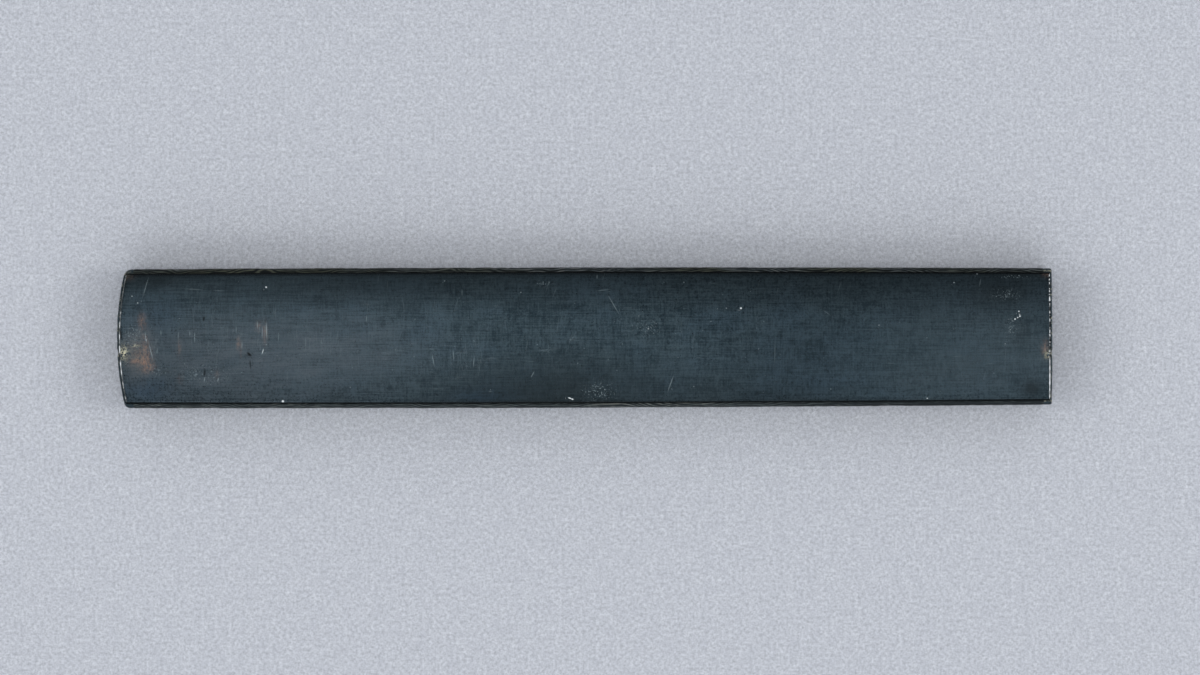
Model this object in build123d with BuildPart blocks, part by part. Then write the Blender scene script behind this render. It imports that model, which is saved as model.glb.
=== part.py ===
from build123d import *

import os

# Kozuka: the hollow metal handle of the small side knife of a Japanese sword.
#
# Four walls are soldered into a frame. A plain crowned plate closes it above and a flat decorated
# plate closes it below, each let into a ledge along the inside of the walls. The blade's tang goes
# in through a slot in the mouth plate, between two thin wood slips that grip it.
#
# Millimetres. +X points out of the mouth, +Z out of the plain face. The origin is at the middle of
# the underside.

# Overall size
LENGTH = 97.0
HEIGHT = 5.2  # at the top of the crown
HALF_WIDTH_BUTT = 7.22
HALF_WIDTH_WIDEST = 7.30
HALF_WIDTH_MOUTH = 7.10
WIDEST_X = -6.0
BUTT_ARC = 33.0  # the butt end is rounded in plan
CROWN_ARC = 78.0  # the plain face is rounded from side to side

# Walls
SIDE_WALL = 1.1  # at the widest place
BUTT_WALL = 1.7  # at the middle of the rounded end
MOUTH_WALL = 0.9
SIDE_LAND = 0.5  # what shows of a side wall beside a plate
END_LAND = 0.22  # what shows of an end plate beside a plate
BUTT_CORNER = 0.7
MOUTH_CORNER = 0.25
SHOULDER = 0.3
FOOT = 0.15

# Plates
FACE_EDGE = 4.2  # height of the plain plate's flat underside
FRONT_THICKNESS = 0.65
SEAM_WIDTH = 0.14
SEAM_DEPTH = 0.14

# Solder inside the corners
SOLDER_LEG = 0.35
SOLDER_BAND = 0.5  # how far the solder along a plate reaches down its walls

# Tang slot and the slips that grip the tang
SLOT_WIDTH = 8.4
SLOT_HEIGHT = 2.35
SLOT_CORNER = 0.35
SLOT_BEVEL = 0.12
SLIP_THICKNESS = 0.55
SLIP_WIDTH = 11.4
SLIP_LENGTH = 77.0
SLIP_LEAD_IN = 0.3
SLIP_END_GAP = 0.6  # between the slips and the mouth plate

BUTT_X = -LENGTH / 2
MOUTH_X = LENGTH / 2
BUTT_WALL_X = BUTT_X + BUTT_WALL
MOUTH_WALL_X = MOUTH_X - MOUTH_WALL
HOLLOW_LENGTH = MOUTH_WALL_X - BUTT_WALL_X
HOLLOW_HALF_WIDTH = HALF_WIDTH_WIDEST - SIDE_WALL
HOLLOW_X = (BUTT_WALL_X + MOUTH_WALL_X) / 2
HOLLOW_Z = (FRONT_THICKNESS + FACE_EDGE) / 2
OUTSIDE = 5.0  # how far a cutting block reaches past the handle


def plan(side_inset=0.0, end_inset=0.0, butt_corner=0.0, mouth_corner=0.0):
    """The outline seen from above, drawn in by the insets, as a sketch on the underside."""
    butt_arc = BUTT_ARC - end_inset
    butt_half = HALF_WIDTH_BUTT - side_inset
    widest_half = HALF_WIDTH_WIDEST - side_inset
    mouth_half = HALF_WIDTH_MOUTH - side_inset
    butt_x = BUTT_X + end_inset
    mouth_x = MOUTH_X - end_inset
    corner_x = butt_x + butt_arc - (butt_arc**2 - butt_half**2) ** 0.5
    with BuildSketch() as outline:
        with BuildLine():
            ThreePointArc((corner_x, butt_half), (WIDEST_X, widest_half), (mouth_x, mouth_half))
            Line((mouth_x, mouth_half), (mouth_x, -mouth_half))
            ThreePointArc((mouth_x, -mouth_half), (WIDEST_X, -widest_half), (corner_x, -butt_half))
            ThreePointArc((corner_x, -butt_half), (butt_x, 0), (corner_x, butt_half))
        make_face()
        if butt_corner:
            fillet(outline.vertices().group_by(Axis.X)[0], butt_corner)
        if mouth_corner:
            fillet(outline.vertices().group_by(Axis.X)[-1], mouth_corner)
    return outline.sketch


def under_crown(drop=0.0):
    """Everything below the crowned top surface lowered by drop."""
    half = HALF_WIDTH_WIDEST + OUTSIDE
    top = HEIGHT - drop
    edge = top - CROWN_ARC + (CROWN_ARC**2 - half**2) ** 0.5
    with BuildPart() as below:
        with BuildSketch(Plane.YZ):
            with BuildLine():
                ThreePointArc((-half, edge), (0, top), (half, edge))
                Polyline((half, edge), (half, -OUTSIDE), (-half, -OUTSIDE), (-half, edge))
            make_face()
        extrude(amount=MOUTH_X + OUTSIDE, both=True)
    return below.part


def recess():
    """The outline that both plates fill, inside the narrow lands of the four walls."""
    return plan(SIDE_LAND, END_LAND)


def face_blank():
    """The plain plate before its seam is cut: flat below, crowned above."""
    with BuildPart() as blank:
        extrude(recess(), amount=HEIGHT)
        add(under_crown(), mode=Mode.INTERSECT)
        split(bisect_by=Plane.XY.offset(FACE_EDGE), keep=Keep.TOP)
    return blank.part


def hollow(corner=0.0):
    """The straight-sided hollow inside the walls and plates, with its edges cut off if asked."""
    with BuildPart() as space:
        with Locations((HOLLOW_X, 0, HOLLOW_Z)):
            Box(HOLLOW_LENGTH, 2 * HOLLOW_HALF_WIDTH, FACE_EDGE - FRONT_THICKNESS)
        if corner:
            chamfer(space.edges(), corner)
    return space.part


def frame():
    """The four walls as one ring, with a ledge along the inside for each plate."""
    with BuildPart() as walls:
        extrude(plan(0, 0, BUTT_CORNER, MOUTH_CORNER), amount=HEIGHT)
        add(under_crown(), mode=Mode.INTERSECT)
        fillet(walls.faces().sort_by(Axis.Z)[-1].edges(), SHOULDER)
        fillet(walls.faces().sort_by(Axis.Z)[0].edges(), FOOT)
        add(hollow(), mode=Mode.SUBTRACT)
        with BuildSketch(Plane.XY.offset(FACE_EDGE)):
            add(recess())
        extrude(amount=HEIGHT, mode=Mode.SUBTRACT)
        extrude(recess(), amount=FRONT_THICKNESS, mode=Mode.SUBTRACT)
    return walls.part


def inner_solder():
    """All the solder inside the handle: a flat-faced bead along every inner corner."""
    with BuildPart() as beads:
        add(hollow())
        add(hollow(SOLDER_LEG), mode=Mode.SUBTRACT)
    return beads.part


def seam():
    """The shallow channel round the plain plate where it meets the walls."""
    with BuildPart() as groove:
        add(face_blank())
        add(under_crown(SEAM_DEPTH), mode=Mode.SUBTRACT)
        extrude(
            plan(SIDE_LAND + SEAM_WIDTH, END_LAND + SEAM_WIDTH),
            amount=HEIGHT,
            mode=Mode.SUBTRACT,
        )
    return groove.part


def end_seam(keep):
    """The stretch of the seam along one end."""
    with BuildPart() as stretch:
        add(seam())
        extrude(plan(-1.0, END_LAND + SEAM_WIDTH), amount=HEIGHT, mode=Mode.SUBTRACT)
        split(bisect_by=Plane.YZ, keep=keep)
    return stretch.part


def slip_blank(bottom):
    """A flat wood strip that starts just inside the mouth plate."""
    start = MOUTH_WALL_X - SLIP_END_GAP
    with BuildPart() as blank:
        with Locations((start - SLIP_LENGTH / 2, 0, bottom + SLIP_THICKNESS / 2)):
            Box(SLIP_LENGTH, SLIP_WIDTH, SLIP_THICKNESS)
    return blank.part


ring = frame()
solder = inner_solder()
butt_wall_plane = Plane.YZ.offset(BUTT_WALL_X)
mouth_wall_plane = Plane.YZ.offset(MOUTH_WALL_X)
face_solder_plane = Plane.XY.offset(FACE_EDGE - SOLDER_BAND)
front_solder_plane = Plane.XY.offset(FRONT_THICKNESS + SOLDER_BAND)

with BuildPart() as near_wall:
    add(ring)
    split(bisect_by=butt_wall_plane, keep=Keep.TOP)
    split(bisect_by=mouth_wall_plane, keep=Keep.BOTTOM)
    split(bisect_by=Plane.XZ, keep=Keep.TOP)
near_wall.part.label = "near_wall"

with BuildPart() as far_wall:
    add(ring)
    split(bisect_by=butt_wall_plane, keep=Keep.TOP)
    split(bisect_by=mouth_wall_plane, keep=Keep.BOTTOM)
    split(bisect_by=Plane.XZ, keep=Keep.BOTTOM)
far_wall.part.label = "far_wall"

with BuildPart() as butt_plate:
    add(ring)
    split(bisect_by=butt_wall_plane, keep=Keep.BOTTOM)
butt_plate.part.label = "butt_plate"

with BuildPart() as mouth_plate:
    add(ring)
    split(bisect_by=mouth_wall_plane, keep=Keep.TOP)
    with BuildSketch(Plane.YZ.offset(MOUTH_X)):
        with Locations((0, HOLLOW_Z)):
            RectangleRounded(SLOT_WIDTH, SLOT_HEIGHT, SLOT_CORNER)
    extrude(amount=-2 * MOUTH_WALL, mode=Mode.SUBTRACT)
    outer_face = mouth_plate.faces().filter_by(Axis.X).sort_by(Axis.X)[-1]
    chamfer(outer_face.inner_wires()[0].edges(), SLOT_BEVEL)
mouth_plate.part.label = "mouth_plate"

with BuildPart() as face_plate:
    add(face_blank())
    add(seam(), mode=Mode.SUBTRACT)
face_plate.part.label = "face_plate"

with BuildPart() as front_plate:
    extrude(recess(), amount=FRONT_THICKNESS)
front_plate.part.label = "front_plate"

# Solder has come up through the end seams and shows as a bright line on the plain face.
with BuildPart() as butt_seam_solder:
    add(end_seam(Keep.BOTTOM))
butt_seam_solder.part.label = "butt_seam_solder"

with BuildPart() as mouth_seam_solder:
    add(end_seam(Keep.TOP))
mouth_seam_solder.part.label = "mouth_seam_solder"

with BuildPart() as face_plate_solder:
    add(solder)
    split(bisect_by=face_solder_plane, keep=Keep.TOP)
face_plate_solder.part.label = "face_plate_solder"

with BuildPart() as front_plate_solder:
    add(solder)
    split(bisect_by=front_solder_plane, keep=Keep.BOTTOM)
front_plate_solder.part.label = "front_plate_solder"

# Each inner corner, as the end and the side of the handle that it is at.
CORNERS = {
    "butt_near": (Keep.BOTTOM, Keep.TOP),
    "butt_far": (Keep.BOTTOM, Keep.BOTTOM),
    "mouth_near": (Keep.TOP, Keep.TOP),
    "mouth_far": (Keep.TOP, Keep.BOTTOM),
}
corner_solders = []
for corner, (end, side) in CORNERS.items():
    with BuildPart() as corner_solder:
        add(solder)
        split(bisect_by=face_solder_plane, keep=Keep.BOTTOM)
        split(bisect_by=front_solder_plane, keep=Keep.TOP)
        split(bisect_by=Plane.YZ, keep=end)
        split(bisect_by=Plane.XZ, keep=side)
    corner_solder.part.label = f"{corner}_corner_solder"
    corner_solders.append(corner_solder)

with BuildPart() as lower_tang_slip:
    add(slip_blank(FRONT_THICKNESS))
    lead_in = lower_tang_slip.faces().sort_by(Axis.X)[-1].edges().sort_by(Axis.Z)[-1]
    chamfer(lead_in, SLIP_LEAD_IN)
lower_tang_slip.part.label = "lower_tang_slip"

with BuildPart() as upper_tang_slip:
    add(slip_blank(FACE_EDGE - SLIP_THICKNESS))
    lead_in = upper_tang_slip.faces().sort_by(Axis.X)[-1].edges().sort_by(Axis.Z)[0]
    chamfer(lead_in, SLIP_LEAD_IN)
upper_tang_slip.part.label = "upper_tang_slip"

PIECES = (
    near_wall,
    far_wall,
    butt_plate,
    mouth_plate,
    face_plate,
    front_plate,
    butt_seam_solder,
    mouth_seam_solder,
    face_plate_solder,
    front_plate_solder,
    *corner_solders,
    lower_tang_slip,
    upper_tang_slip,
)

os.makedirs("parts", exist_ok=True)
for piece in PIECES:
    export_step(piece.part, f"parts/{piece.part.label}.step")
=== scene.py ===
import math

import bmesh
import bpy
import numpy as np
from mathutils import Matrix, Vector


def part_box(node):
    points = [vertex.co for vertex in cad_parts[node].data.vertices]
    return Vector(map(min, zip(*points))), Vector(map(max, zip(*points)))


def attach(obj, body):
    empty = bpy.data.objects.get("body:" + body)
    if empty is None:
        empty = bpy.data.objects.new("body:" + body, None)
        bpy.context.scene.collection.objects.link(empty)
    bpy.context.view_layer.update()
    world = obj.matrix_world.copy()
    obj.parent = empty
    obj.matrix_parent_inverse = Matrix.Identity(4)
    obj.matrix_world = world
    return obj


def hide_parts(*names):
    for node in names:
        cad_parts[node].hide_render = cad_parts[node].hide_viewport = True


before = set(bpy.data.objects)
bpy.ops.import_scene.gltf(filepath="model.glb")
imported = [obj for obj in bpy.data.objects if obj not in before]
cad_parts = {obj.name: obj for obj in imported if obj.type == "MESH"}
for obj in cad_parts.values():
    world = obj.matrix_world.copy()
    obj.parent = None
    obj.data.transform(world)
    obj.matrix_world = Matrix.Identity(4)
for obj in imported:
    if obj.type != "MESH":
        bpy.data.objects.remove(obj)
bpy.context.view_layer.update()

# Lengths in this script are millimetres, and become metres when a mesh, lamp or camera is made.
MM = 0.001


def box_mm(node):
    """A CAD node's lowest and highest corner in millimetres."""
    low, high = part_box(node)
    return np.array(low) / MM, np.array(high) / MM


# ---------------------------------------------------------------- the handle, read from the frame

BUTT_X = box_mm("butt_plate")[0][0]
MOUTH_X = box_mm("mouth_plate")[1][0]
BUTT_WALL_X = box_mm("far_wall")[0][0]
MOUTH_WALL_X, HALF_WIDEST, _ = box_mm("far_wall")[1]
HALF_BUTT = box_mm("butt_plate")[1][1]
HALF_MOUTH = box_mm("mouth_plate")[1][1]
FACE_EDGE = box_mm("face_plate")[0][2]
HEIGHT = box_mm("face_plate")[1][2]
FRONT_THICKNESS = box_mm("front_plate")[1][2]
END_LAND = box_mm("front_plate")[0][0] - BUTT_X
SIDE_LAND = HALF_WIDEST - box_mm("front_plate")[1][1]
HOLLOW_HALF_WIDTH = box_mm("face_plate_solder")[1][1]
SEAM_WIDTH = box_mm("mouth_seam_solder")[1][0] - box_mm("mouth_seam_solder")[0][0]

# Curves of the outline and of the plain face, and the softened edges
WIDEST_X = -6.0
HALF_WIDTH_THERE = 7.3
BUTT_ARC = 33.0
MOUTH_ARC = 4000.0  # all but straight
CROWN_ARC = 78.0
BUTT_CORNER = 0.7
MOUTH_CORNER = 0.25
FOOT = 0.15
SOFT_EDGE = 0.05
SEAM_DEPTH = 0.14

# Tang slot
SLOT_WIDTH = 8.4
SLOT_HEIGHT = 2.35
SLOT_CORNER = 0.35
SLOT_BEVEL = 0.12

# Carved wood grain
GRAIN_PITCH = 0.27
GRAIN_DEPTH = 0.045

# Mesh spacing
WALL_STEP = 0.085
SIDE_ROWS = 60
END_STEP = 0.06
PLATE_STEP = 0.135
FRONT_STEP = 0.17
BEAD_STEP = 0.035
BACK_STRIDE = 20  # a plate's flat back keeps one column in this many

SIDE_CURVE = np.polyfit(
    (BUTT_WALL_X, WIDEST_X, MOUTH_WALL_X), (HALF_BUTT, HALF_WIDTH_THERE, HALF_MOUTH), 2
)


def half_width(x):
    """Half the handle's width at x: widest near the middle, a little narrower at both ends."""
    return np.polyval(SIDE_CURVE, x)


def crown(y):
    """Height of the plain face at y."""
    return HEIGHT - CROWN_ARC + np.sqrt(CROWN_ARC**2 - y**2)


def ripple(seed, x_length, y_length, waves=16):
    """A smooth random field of x and y with features of about these lengths, mostly in -1..1."""
    rng = np.random.default_rng(seed)
    angle = rng.uniform(0, 2 * np.pi, waves)
    pace = 2 * np.pi * rng.uniform(0.5, 1.5, waves)
    phase = rng.uniform(0, 2 * np.pi, waves)

    def field(x, y):
        total = 0.0
        for a, k, p in zip(angle, pace, phase):
            total = total + np.sin(k * (np.cos(a) * x / x_length + np.sin(a) * y / y_length) + p)
        return total / math.sqrt(waves)

    return field


def spots(marks, x, y):
    """Soft round or oval spots added up: each mark is x, y, x radius, y radius and strength."""
    total = np.zeros(np.broadcast(x, y).shape)
    for mark_x, mark_y, radius_x, radius_y, strength in marks:
        reach = ((x - mark_x) / radius_x) ** 2 + ((y - mark_y) / radius_y) ** 2
        total = total + strength * np.exp(-reach)
    return total


# ---------------------------------------------------------------- marks on the plain face

# Knocks in the edges: x, y, radii and depth
DENTS = (
    (-48.45, -1.45, 0.22, 0.3, 0.16),
    (-48.4, 1.2, 0.15, 0.22, 0.07),
    (48.35, -1.8, 0.3, 0.35, 0.17),
    (48.5, -6.1, 0.25, 0.4, 0.1),
    (-47.75, 7.1, 0.55, 0.5, 0.2),
    (-16.5, 7.2, 1.4, 0.3, 0.07),
    (-11.6, 7.3, 0.25, 0.2, 0.16),
    (-9.3, 7.3, 0.35, 0.2, 0.12),
    (-8.0, 7.3, 0.2, 0.2, 0.14),
    (5.0, 7.25, 2.2, 0.3, 0.05),
    (26.0, 7.2, 1.2, 0.3, 0.05),
    (10.6, -7.25, 0.8, 0.3, 0.07),
    (-27.0, -7.25, 2.5, 0.3, 0.05),
    (31.0, -7.2, 0.5, 0.3, 0.06),
)

# Places where brown copper shows: x, y, radii and strength
COPPER = (
    (-45.6, -2.0, 0.5, 0.9, 1.0),
    (-45.15, -2.85, 0.5, 0.5, 1.0),
    (-45.45, -3.35, 0.2, 0.2, 0.6),
    (-46.4, -2.3, 0.65, 0.35, 0.8),
    (-46.2, -1.6, 1.1, 1.7, 0.25),
    (-45.5, -0.4, 0.25, 1.0, 0.55),
    (-45.85, 1.8, 0.35, 0.7, 0.75),
    (-47.3, 6.4, 0.6, 0.35, 0.2),
    (-42.0, -1.0, 0.16, 0.7, 0.4),
    (-35.9, -0.5, 0.14, 0.55, 0.7),
    (-35.6, -1.2, 0.1, 0.7, 0.4),
    (-33.8, 1.2, 0.3, 0.5, 0.35),
    (-33.1, 0.6, 0.2, 0.9, 0.5),
    (-38.1, -3.7, 0.2, 0.4, 0.3),
    (-41.9, -4.2, 0.3, 0.4, 0.22),
    (47.7, -1.2, 0.35, 0.7, 0.5),
    (47.9, 6.5, 0.5, 0.35, 0.5),
)

# Places rubbed pale down to the metal: x, y, radii and strength
RUBBED = (
    (-47.8, -1.45, 0.42, 0.6, 1.0),
    (-46.6, -0.75, 0.35, 0.12, 0.7),
    (-46.4, -1.6, 1.2, 2.0, 0.07),
    (47.95, -1.9, 0.3, 0.4, 0.5),
)

# Bright specks: x, y, width and brightness
SPECKS = (
    (-31.3, -6.52, 0.34, 1.0),
    (-1.25, -6.4, 0.2, 0.9),
    (-33.0, 5.3, 0.26, 0.9),
    (-46.9, 4.4, 0.20, 0.6),
    (-46.3, 3.7, 0.20, 0.6),
    (-42.0, 2.1, 0.14, 0.4),
    (16.2, 3.0, 0.28, 1.0),
    (14.7, 3.0, 0.18, 0.5),
    (6.6, 0.9, 0.20, 0.6),
    (30.5, 1.2, 0.18, 0.5),
    (38.3, 5.6, 0.18, 0.6),
    (40.7, 6.5, 0.2, 0.6),
    (45.0, 2.6, 0.2, 0.9),
    (45.1, 2.1, 0.24, 1.0),
    (44.6, 1.8, 0.24, 0.9),
    (44.1, 0.7, 0.16, 0.6),
    (35.5, -6.4, 0.20, 0.7),
    (-14.5, 5.9, 0.16, 0.5),
    (-6.6, 4.7, 0.16, 0.5),
    (-24.3, -5.1, 0.16, 0.45),
    (10.3, 5.7, 0.16, 0.45),
    (11.3, -5.1, 0.16, 0.45),
    (25.5, -5.4, 0.16, 0.45),
    (42.4, -3.8, 0.14, 0.4),
)

# Patches of fine random specks: x, y, radii and how many
SPECKLED = (
    (43.8, 4.3, 1.4, 0.5, 26),
    (44.8, 6.3, 0.8, 0.15, 7),
    (44.2, 1.0, 0.5, 1.2, 7),
    (1.4, -5.6, 1.3, 0.7, 30),
    (-4.1, 5.6, 0.5, 0.25, 9),
    (43.6, -0.7, 0.3, 0.4, 4),
    (-46.6, 0.1, 0.9, 1.4, 20),
    (-39.5, -3.4, 2.6, 1.2, 26),
    (-44.0, -3.3, 0.9, 0.6, 14),
    (8.0, 2.0, 9.0, 4.0, 16),
    (0.0, 0.0, 44.0, 6.0, 60),
)

# Patches of dust-fine pits rubbed bright: x, y, radii and strength
PITTED = (
    (1.4, -5.6, 1.4, 0.8, 1.0),
    (43.6, 4.4, 1.2, 0.5, 0.9),
    (44.6, 6.2, 1.6, 0.2, 0.9),
    (44.3, 0.9, 0.7, 1.2, 0.7),
    (-46.9, 0.3, 0.8, 1.4, 1.0),
    (-39.4, -3.7, 2.4, 0.8, 0.9),
    (-44.2, -3.4, 0.9, 0.5, 0.8),
    (-4.1, 5.6, 0.6, 0.3, 1.0),
    (6.4, 1.0, 1.6, 0.8, 0.7),
)

# Patches of fine random hair scratches: x, y, radii, angle in degrees and how many
HAIRED = (
    (-12.5, -2.2, 2.2, 1.4, 88, 16),
    (-37.0, 0.3, 7.0, 3.0, 90, 60),
    (-41.0, -2.0, 5.0, 3.0, 60, 24),
    (-22.0, 0.0, 14.0, 4.5, 89, 40),
    (-20.0, -1.0, 14.0, 3.5, 0, 44),
    (10.0, 0.0, 28.0, 5.0, 75, 30),
    (10.0, 0.0, 34.0, 5.0, -2, 26),
)

# Darker stretches of the patina: x, y, radii and strength
DARKER = (
    (46.3, -5.4, 1.1, 0.9, 0.8),
    (45.2, 0.5, 1.3, 1.5, 0.35),
    (43.0, 4.4, 3.5, 1.6, 0.4),
    (22.0, -2.0, 9.0, 7.0, 0.35),
    (0.0, -5.6, 17.0, 3.2, 0.42),
    (-8.0, 5.2, 15.0, 2.2, 0.1),
    (-4.0, -4.4, 12.0, 4.0, 0.36),
    (-12.0, -6.3, 10.0, 1.4, 0.2),
    (20.0, -6.3, 12.0, 1.6, 0.22),
    (-37.0, -6.2, 8.0, 1.4, 0.15),
    (40.0, -3.0, 8.0, 2.5, 0.12),
    (-25.0, 5.0, 9.0, 1.8, 0.2),
    (-43.3, -3.4, 0.7, 0.28, 0.6),
    (-29.9, -2.65, 0.7, 0.4, 0.4),
    (-27.2, -1.9, 0.8, 0.4, 0.3),
    (-26.0, -6.0, 3.0, 0.9, 0.35),
    (-37.5, -6.2, 7.0, 0.9, 0.2),
    (-44.6, 5.9, 3.0, 0.7, 0.3),
)

# Lighter stretches, partly rubbed pale patina and partly a painted sheen: x, y, radii and strength
PALE_AND_SHEEN = (
    (-37.0, -2.5, 13.0, 4.8, 1.0),
    (-24.0, -0.8, 8.0, 3.4, 0.45),
    (44.0, -1.0, 8.0, 5.0, 0.16),
    (-46.2, -1.2, 1.6, 2.6, 1.0),
    (38.0, -4.5, 8.0, 2.5, 0.14),
    (38.0, 2.5, 7.0, 2.5, 0.10),
)

# Bluer stretches of the patina: x, y, radii and strength
BLUER = (
    (-45.5, -5.2, 3.0, 1.3, 1.0),
    (-11.0, -6.2, 3.0, 0.9, 0.6),
    (-44.0, 2.5, 2.5, 2.0, 0.4),
    (24.0, -3.0, 7.0, 4.0, 0.3),
)

# Scratches: middle x and y, angle in degrees, length, width and brightness, or darkness below 0
SCRATCHES = (
    (-34.75, -1.65, -40, 0.8, 0.34, -1.0),
    (-34.65, -2.7, 95, 1.3, 0.24, -0.7),
    (-39.45, 2.05, 80, 0.7, 0.3, -0.9),
    (-39.4, -3.6, 85, 0.9, 0.28, -0.8),
    (-48.05, 0.4, 92, 1.4, 0.2, -0.9),
    (-1.55, -6.28, -18, 0.5, 0.17, 1.0),
    (3.0, 3.4, -60, 2.8, 0.13, 0.36),
    (1.9, 4.9, 6, 1.8, 0.12, 0.22),
    (8.9, -4.8, 70, 2.2, 0.14, 0.32),
    (-5.4, -3.8, 62, 0.9, 0.14, 0.30),
    (-45.5, 5.3, 74, 2.6, 0.13, 0.30),
    (-40.5, 5.1, -3, 2.2, 0.12, 0.22),
    (-37.9, 4.95, -2, 1.4, 0.12, 0.20),
    (-15.7, -2.3, -80, 1.6, 0.13, 0.32),
    (-13.6, -1.8, -86, 1.4, 0.12, 0.32),
    (-11.5, -2.5, 84, 1.4, 0.12, 0.32),
    (-22.6, 2.0, 86, 0.9, 0.14, 0.30),
    (-12.7, 4.7, 90, 0.8, 0.12, 0.25),
    (-33.35, -1.35, 72, 0.9, 0.13, 0.75),
    (-32.95, 0.8, 91, 2.2, 0.15, 0.5),
    (-33.4, 0.6, 88, 1.5, 0.13, 0.4),
    (-33.9, 1.4, 90, 0.9, 0.13, 0.4),
    (-40.4, 0.1, 89, 1.3, 0.13, 0.45),
    (-44.95, -1.3, 104, 2.3, 0.13, 0.5),
    (-45.5, 0.2, 95, 1.2, 0.13, 0.5),
    (-39.4, -4.2, 80, 0.8, 0.14, 0.5),
    (-38.0, -4.3, 70, 0.6, 0.14, 0.5),
    (19.7, -1.6, 89, 2.8, 0.12, 0.16),
    (25.1, 2.5, -35, 1.2, 0.12, 0.18),
    (1.3, 6.3, 88, 0.6, 0.12, 0.30),
    (41.0, 5.6, 80, 1.0, 0.12, 0.22),
    (-40.9, 0.5, 91, 0.8, 0.13, 0.35),
    (-42.1, 0.3, 88, 1.0, 0.13, 0.35),
    (-43.9, 0.6, 92, 0.7, 0.13, 0.35),
    (-44.3, -1.3, 86, 0.8, 0.13, 0.40),
    (-36.1, 0.9, 90, 0.9, 0.12, 0.30),
    (-35.5, -0.7, 89, 1.0, 0.13, 0.40),
    (-31.7, 0.2, 88, 1.2, 0.12, 0.25),
    (-28.9, -0.6, 91, 1.6, 0.12, 0.20),
)


MARK_GAP = 0.33  # a random speck closer than this to another mark is left out
MARK_REACH = 0.3  # a mark is stored at the mesh points closer to it than this

# How much closer a mark counts as being where two compete for a mesh point
NAMED_PULL, SPECK_PULL, HAIR_PULL = 0.3, 0.05, 0.0

# Ranges of the random marks' measures and brightness
PATCH_SPREAD = 0.6
SPECK_WIDTH, SPECK_SHINE = (0.08, 0.15), (0.15, 0.55)
HAIR_LENGTH, HAIR_WIDTH, HAIR_SHINE = (0.5, 2.4), (0.07, 0.11), (0.04, 0.13)
HAIR_TURN = 5  # degrees


def all_marks():
    """Scratches and specks, named and random: each one's pull, middle, angle, length, width
    and brightness."""
    rng = np.random.default_rng(7)
    named = list(SCRATCHES)
    named += [(x, y, 0, width, width, bright) for x, y, width, bright in SPECKS]
    taken = [mark[:2] for mark in named]
    marks = [(NAMED_PULL, *mark) for mark in named]

    def is_free(x, y):
        return min(math.hypot(x - a, y - b) for a, b in taken) > MARK_GAP

    def random_place(x, y, radius_x, radius_y):
        return (
            x + radius_x * rng.normal() * PATCH_SPREAD,
            y + radius_y * rng.normal() * PATCH_SPREAD,
        )

    for *patch, count in SPECKLED:
        for _ in range(count):
            place = random_place(*patch)
            width, bright = rng.uniform(*SPECK_WIDTH), rng.uniform(*SPECK_SHINE)
            if is_free(*place):
                marks.append((SPECK_PULL, *place, 0, width, width, bright))
                taken.append(place)
    for *patch, angle, count in HAIRED:
        for _ in range(count):
            place = random_place(*patch)
            size = rng.uniform(*HAIR_LENGTH), rng.uniform(*HAIR_WIDTH)
            turned = angle + rng.normal() * HAIR_TURN
            marks.append((HAIR_PULL, *place, turned, *size, rng.uniform(*HAIR_SHINE)))
    return marks


def nearest_mark(x, y):
    """The place in the closest mark, as shares of its half length and half width, and the
    mark's brightness, or 0 away from all marks. A shader can draw fine marks from these."""
    closest = np.full(x.shape, MARK_REACH)
    far_away = 9.0
    along, across = np.full(x.shape, far_away), np.full(x.shape, far_away)
    shine = np.zeros(x.shape)
    for pull, mark_x, mark_y, angle, length, width, bright in all_marks():
        c, s = math.cos(math.radians(angle)), math.sin(math.radians(angle))
        u = (x - mark_x) * c + (y - mark_y) * s
        v = (y - mark_y) * c - (x - mark_x) * s
        away = np.hypot(np.clip(np.abs(u) - length / 2, 0, None), v)
        here = (away < MARK_REACH) & (away - pull < closest)
        closest[here] = away[here] - pull
        along[here] = u[here] / (length / 2)
        across[here] = v[here] / (width / 2)
        shine[here] = bright
    return along, across, shine


# ---------------------------------------------------------------- meshes


def face_outward(mesh):
    work = bmesh.new()
    work.from_mesh(mesh)
    bmesh.ops.recalc_face_normals(work, faces=work.faces)
    work.to_mesh(mesh)
    work.free()


def shade_smooth(mesh, sharp_angle):
    """Smooth shading, with edges sharper than this angle in degrees kept sharp."""
    mesh.polygons.foreach_set("use_smooth", [True] * len(mesh.polygons))
    mesh.set_sharp_from_angle(angle=math.radians(sharp_angle))


def make_piece(name, points, faces, material, fields):
    """A closed mesh in place of the CAD node of the same name, with a float per point for each
    named field."""
    mesh = bpy.data.meshes.new(name)
    mesh.from_pydata((np.asarray(points) * MM).tolist(), [], faces)
    for field, values in fields.items():
        attribute = mesh.attributes.new(field, "FLOAT", "POINT")
        attribute.data.foreach_set("value", np.asarray(values, np.float32).ravel())
    face_outward(mesh)
    shade_smooth(mesh, 50)
    mesh.materials.append(material)
    piece = bpy.data.objects.new(name, mesh)
    bpy.context.scene.collection.objects.link(piece)
    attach(piece, "root")
    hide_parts(name)
    return piece


def grid_faces(columns, rows, close_rows=False):
    """Quads of a grid of points stored column by column."""
    index = np.arange(columns * rows).reshape(columns, rows)
    if close_rows:
        index = np.hstack([index, index[:, :1]])
    corners = (index[:-1, :-1], index[1:, :-1], index[1:, 1:], index[:-1, 1:])
    return np.stack([c.ravel() for c in corners], axis=1).tolist()


def end_caps(columns, rows):
    """The faces that close both ends of a tube of points stored column by column."""
    last = (columns - 1) * rows
    return [list(range(rows)), list(range(last, last + rows))]


def lengths_along(line):
    """Each point's distance along a line from its first point."""
    return np.concatenate([[0], np.cumsum(np.linalg.norm(np.diff(line, axis=0), axis=1))])


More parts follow.
